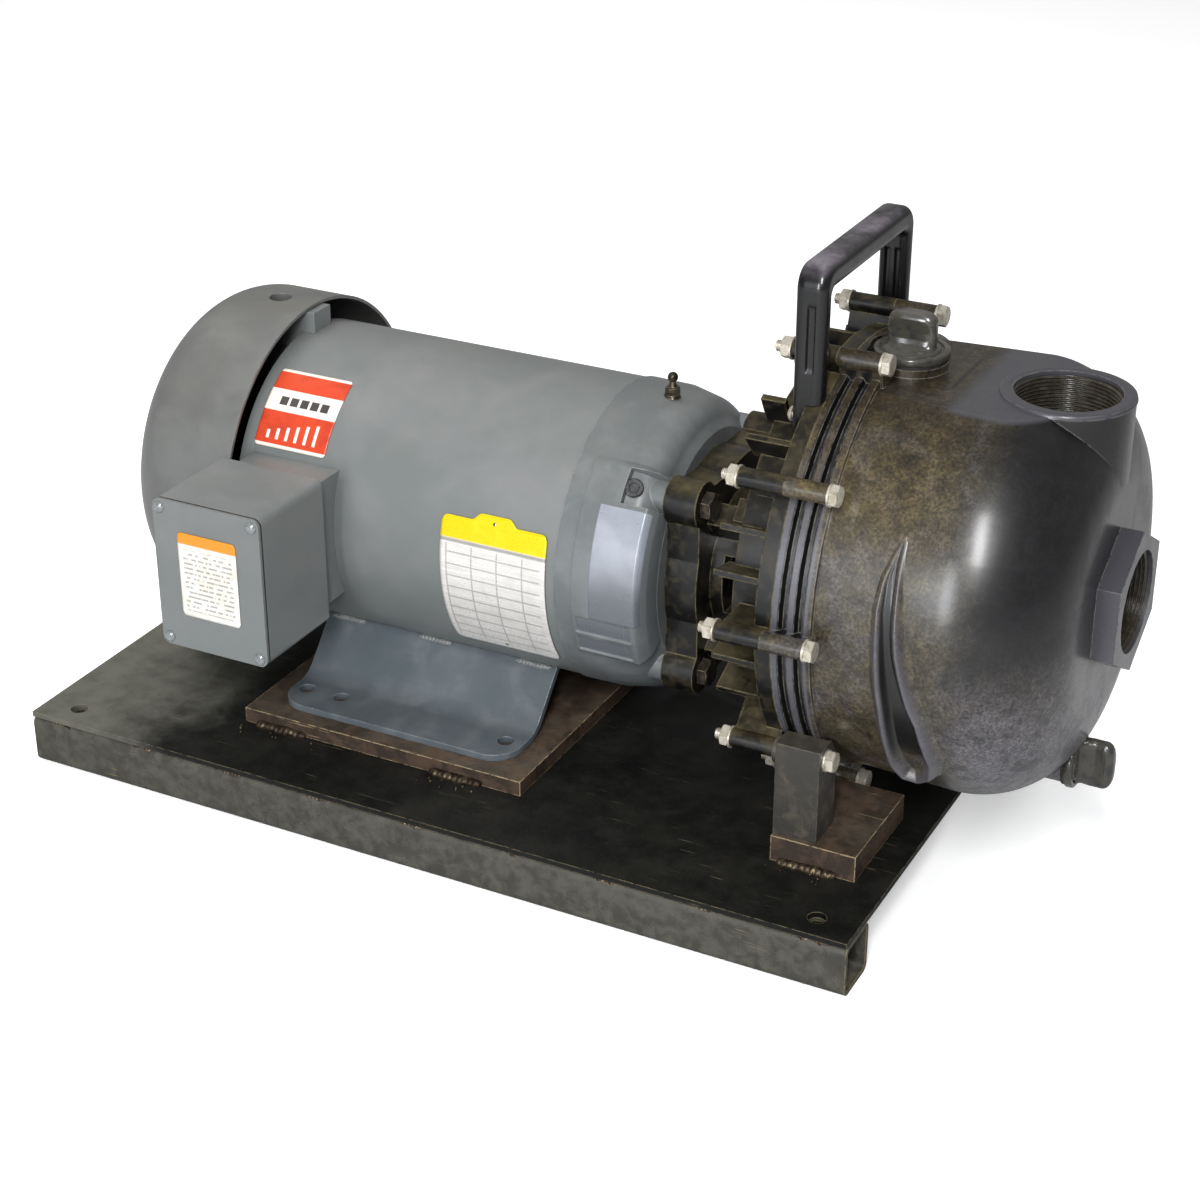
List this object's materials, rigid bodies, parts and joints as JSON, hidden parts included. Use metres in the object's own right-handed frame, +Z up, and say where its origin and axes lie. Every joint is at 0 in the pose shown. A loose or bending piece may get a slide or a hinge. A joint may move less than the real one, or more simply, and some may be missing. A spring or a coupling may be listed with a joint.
{
  "type": "chemical transfer pump",
  "caption": "Self-priming chemical transfer pump close-coupled to an enclosed electric motor on a welded steel base, with carrying handle, threaded ports, fill and drain plugs.",
  "frame": {"origin": "on the floor under the shaft, midway along the base, at the centre of the four base holes", "axes": "+X along the shaft from the motor to the pump, -Y towards the conduit box, +Z up"},
  "size_m": [0.6297, 0.3554, 0.361],
  "materials": {
    "base_paint": "worn satin paint",
    "weld_metal": "rough",
    "bare_steel": "rusty mill scale",
    "motor_paint": "smooth enamel",
    "lamination_steel": "stacked sheet",
    "copper_windings": "lacquered",
    "zinc_steel": "zinc plated",
    "bearing_steel": "ground",
    "rubber_seal": "smooth",
    "paper_label": "printed film",
    "plate_aluminium": "printed",
    "pump_plastic": "glass filled, mottled",
    "gloss_plastic": "moulded",
    "leg_plastic": "moulded",
    "dark_steel": "black oxide",
    "stainless": "stainless",
    "fan_plastic": "moulded",
    "seal_carbon": "lapped",
    "valve_rubber": "moulded"
  },
  "bodies": {
    "frame": {"base_plate": "base_paint", "front_rail": "base_paint", "back_rail": "base_paint", "base_welds": "weld_metal", "motor_riser": "bare_steel", "pump_pad_front": "bare_steel", "pump_pad_back": "bare_steel", "seat_welds": "weld_metal", "motor_foot_front": "motor_paint", "motor_foot_back": "motor_paint", "motor_shell": "motor_paint", "stator_core": "lamination_steel", "stator_windings": "copper_windings", "front_end_bell": "motor_paint", "rear_end_bell": "motor_paint", "through_bolts": "zinc_steel", "bearing_outer_rings": "bearing_steel", "grease_fitting": "zinc_steel", "fan_cover": "motor_paint", "fan_cover_screws": "zinc_steel", "conduit_box": "motor_paint", "box_gasket": "rubber_seal", "box_lid": "motor_paint", "box_lid_screws": "zinc_steel", "box_label": "paper_label", "nameplate": "plate_aluminium", "motor_sticker": "paper_label", "nameplate_rivets": "plate_aluminium", "bracket": "pump_plastic", "bracket_bolts": "dark_steel", "handle": "gloss_plastic", "handle_screws": "zinc_steel", "pump_casing": "pump_plastic", "casing_seal_ring": "rubber_seal", "pump_leg_front": "leg_plastic", "pump_leg_back": "leg_plastic", "tie_bolts": "stainless", "tie_nuts": "stainless", "tie_washers": "stainless", "volute": "pump_plastic", "suction_chamber": "pump_plastic", "valve_seat": "pump_plastic", "valve_pin": "stainless", "seal_seat": "seal_carbon"},
    "rotor": {"motor_shaft": "bearing_steel", "rotor_core": "lamination_steel", "bearing_inner_rings": "bearing_steel", "bearing_balls": "bearing_steel", "cooling_fan": "fan_plastic", "shaft_slinger": "rubber_seal", "seal_head": "seal_carbon", "impeller": "pump_plastic", "impeller_nut": "stainless"},
    "fill_ring": {"fill_seal_ring": "rubber_seal"},
    "fill_plug_body": {"fill_plug": "gloss_plastic"},
    "drain_ring": {"drain_seal_ring": "rubber_seal"},
    "drain_plug_body": {"drain_plug": "gloss_plastic"},
    "valve": {"valve_flapper": "valve_rubber"}
  },
  "joints": [
    {"name": "shaft_spin", "type": "hinge", "parent": "frame", "child": "rotor", "pos_m": [0.1, 0, 0.155], "axis": [1, 0, 0], "continuous": true},
    {"name": "fill_plug_lift", "type": "slide", "parent": "frame", "child": "fill_ring", "axis": [0, 0, 1], "range_m": [0, 0.0112]},
    {"name": "fill_plug_turn", "type": "hinge", "parent": "fill_ring", "child": "fill_plug_body", "pos_m": [0.2225, 0, 0.3], "axis": [0, 0, 1], "range_deg": [0, 1800]},
    {"name": "drain_plug_lift", "type": "slide", "parent": "frame", "child": "drain_ring", "axis": [1, 0, 0], "range_m": [0, 0.0112]},
    {"name": "drain_plug_turn", "type": "hinge", "parent": "drain_ring", "child": "drain_plug_body", "pos_m": [0.335, 0, 0.073], "axis": [1, 0, 0], "range_deg": [0, 1800]},
    {"name": "valve_swing", "type": "hinge", "parent": "frame", "child": "valve", "pos_m": [0.3315, 0, 0.215], "axis": [0, 1, 0], "range_deg": [0, 60]}
  ],
  "couplings": [
    {"joint": "fill_plug_lift", "follows": "fill_plug_turn", "m_per_rad": 0.0003517},
    {"joint": "drain_plug_lift", "follows": "drain_plug_turn", "m_per_rad": 0.0003517}
  ]
}
